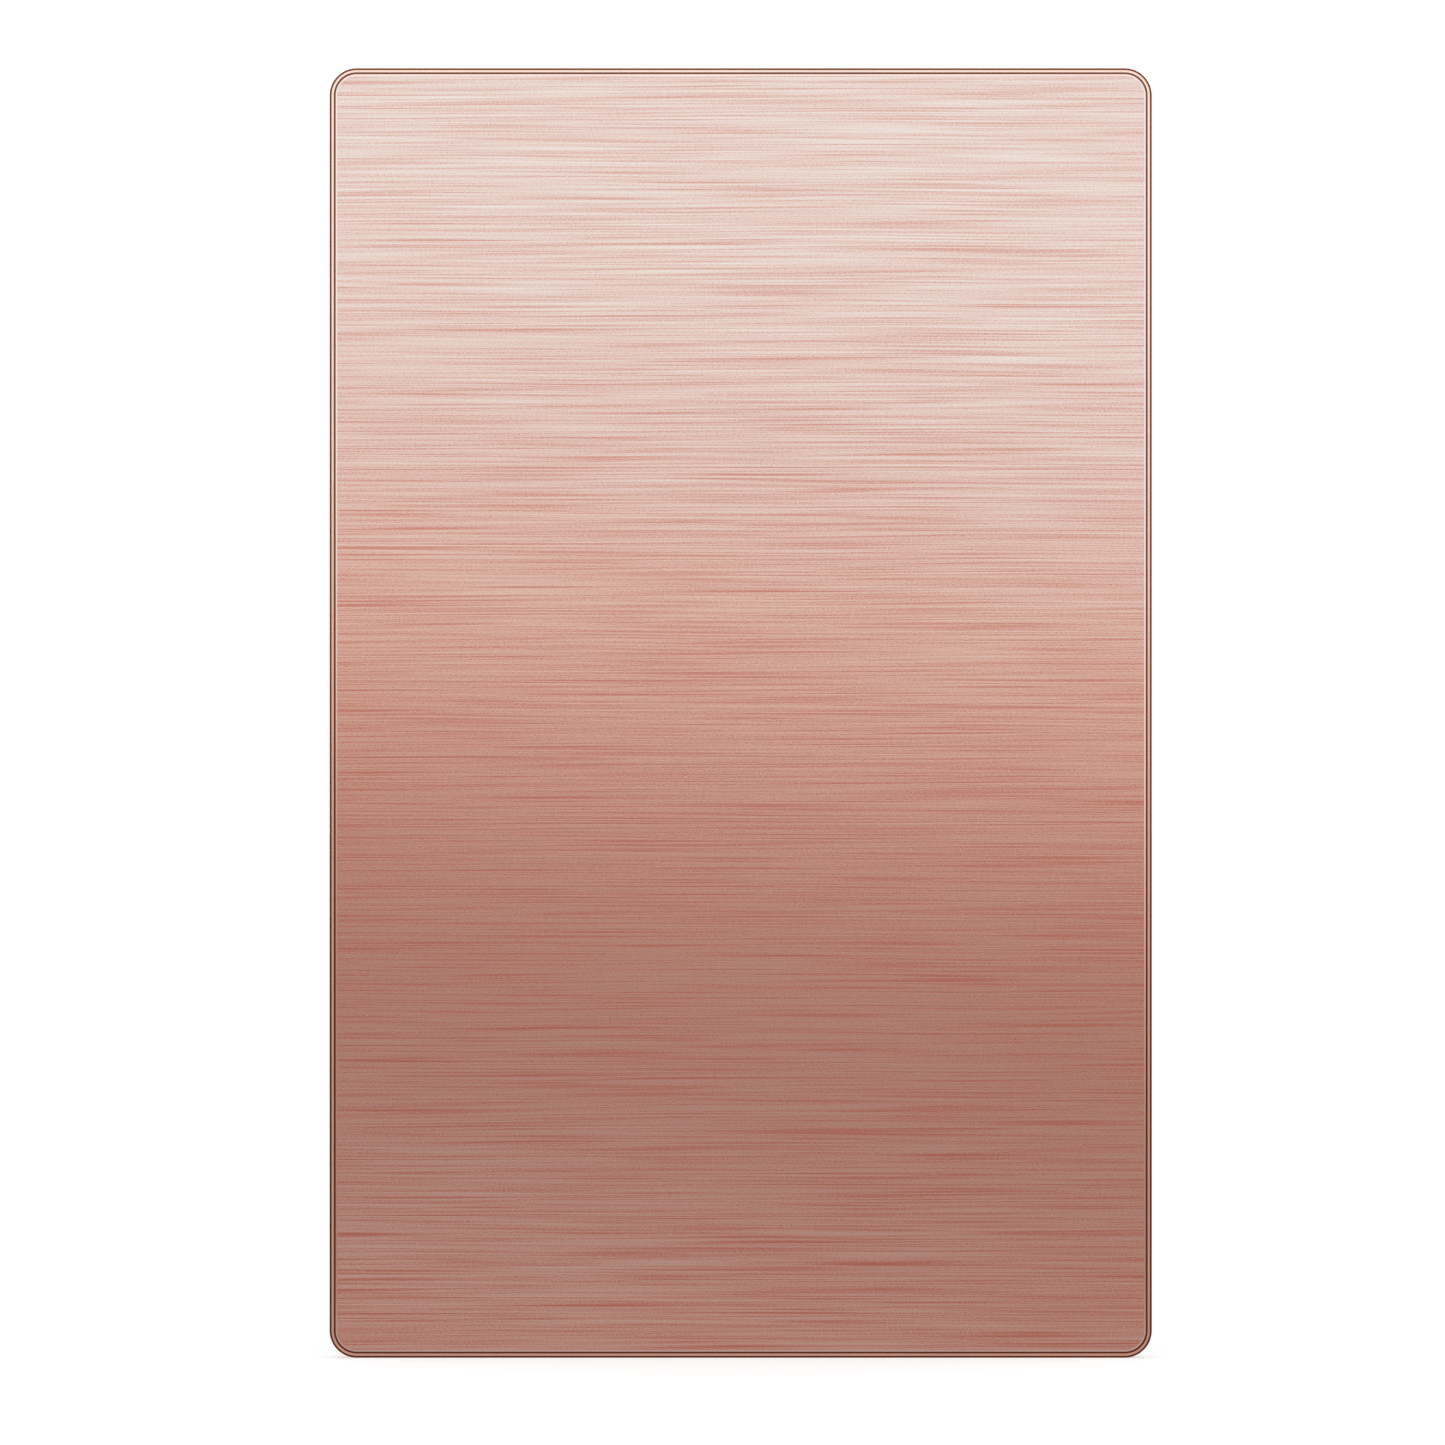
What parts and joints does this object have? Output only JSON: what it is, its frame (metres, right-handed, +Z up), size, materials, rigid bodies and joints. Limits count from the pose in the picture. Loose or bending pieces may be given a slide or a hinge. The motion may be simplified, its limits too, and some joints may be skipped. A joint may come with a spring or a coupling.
{
  "type": "tablet computer",
  "caption": "Slim slate tablet with a brushed rose-copper rear cover in a polished metal rim, a glass front, flush edge keys, a sliding card tray and a charging port.",
  "frame": {"origin": "middle of the bottom edge, on the surface it stands on", "axes": "+Z up along the long side, +Y out of the display, -Y out of the rear cover, +X towards the edge with the keys"},
  "size_m": [0.1574, 0.007, 0.247],
  "materials": {
    "brushed_cover": "brushed across the width, rose copper anodised",
    "polished_rim": "polished, rose copper anodised",
    "front_glass": "gloss, black border printed behind",
    "adhesive": "matt",
    "panel": "satin",
    "light_guide": "satin",
    "plate_alloy": "pressed",
    "board": "satin",
    "chip": "matt",
    "shield_steel": "satin",
    "graphite": "satin",
    "cell_wrap": "foil laminate",
    "flex_film": "film",
    "black_plastic": "moulded",
    "mesh": "woven, dark",
    "lens": "gloss",
    "screw_steel": "bright"
  },
  "bodies": {
    "casing": {"rear_cover": "brushed_cover", "rear_cover_tape": "adhesive", "side_frame": "polished_rim", "mid_plate": "plate_alloy", "cover_glass": "front_glass", "glass_tape": "adhesive", "touch_sensor": "panel", "lcd_panel": "panel", "backlight_unit": "light_guide", "display_flex": "flex_film", "touch_flex": "flex_film", "sensor_flex": "flex_film", "camera_flex": "flex_film", "front_camera_body": "black_plastic", "front_camera_lens": "lens", "light_sensor": "lens", "main_board": "board", "processor_chip": "chip", "memory_chip": "chip", "processor_shield": "shield_steel", "radio_shield": "shield_steel", "thermal_pad": "graphite", "sub_board": "board", "board_link_flex": "flex_film", "usb_c_shell": "shield_steel", "usb_c_tongue": "black_plastic", "battery_cell_left": "cell_wrap", "battery_cell_right": "cell_wrap", "battery_protection_board": "board", "battery_flex": "flex_film", "top_microphone": "shield_steel", "bottom_microphone": "shield_steel", "power_switch": "shield_steel", "volume_up_switch": "shield_steel", "volume_down_switch": "shield_steel", "key_flex": "flex_film", "key_bracket": "shield_steel", "card_socket": "shield_steel", "wifi_antenna": "black_plastic", "bluetooth_antenna": "black_plastic", "speaker_top_left": "black_plastic", "speaker_mesh_top_left": "mesh", "speaker_top_right": "black_plastic", "speaker_mesh_top_right": "mesh", "speaker_bottom_left": "black_plastic", "speaker_mesh_bottom_left": "mesh", "speaker_bottom_right": "black_plastic", "speaker_mesh_bottom_right": "mesh", "main_board_screw_1": "screw_steel", "main_board_screw_2": "screw_steel", "main_board_screw_3": "screw_steel", "main_board_screw_4": "screw_steel", "sub_board_screw_1": "screw_steel", "sub_board_screw_2": "screw_steel"},
    "power_button": {"power_button": "polished_rim"},
    "volume_rocker": {"volume_rocker": "polished_rim"},
    "card_tray": {"card_tray": "polished_rim"},
    "eject_rod": {"eject_rod": "screw_steel"},
    "eject_lever": {"eject_lever": "screw_steel"}
  },
  "joints": [
    {"name": "power_button_press", "type": "slide", "parent": "casing", "child": "power_button", "axis": [-1, 0, 0], "range_m": [0, 0.00025], "stiffness_N_per_m": 7000},
    {"name": "volume_rocker_tilt", "type": "hinge", "parent": "casing", "child": "volume_rocker", "pos_m": [0.0768, -0.0004, 0.196], "axis": [0, -1, 0], "range_deg": [-1.5, 1.5], "stiffness_Nm_per_rad": 0.65},
    {"name": "card_tray_slide", "type": "slide", "parent": "casing", "child": "card_tray", "axis": [-1, 0, 0], "range_m": [0, 0.021]},
    {"name": "eject_rod_slide", "type": "slide", "parent": "casing", "child": "eject_rod", "axis": [1, 0, 0], "range_m": [0, 0.0012]},
    {"name": "eject_lever_turn", "type": "hinge", "parent": "casing", "child": "eject_lever", "pos_m": [-0.0579, -0.0004, 0.206], "axis": [0, 1, 0], "range_deg": [0, 12.2]}
  ],
  "couplings": [
    {"joint": "eject_lever_turn", "follows": "eject_rod_slide", "rad_per_m": 175}
  ]
}
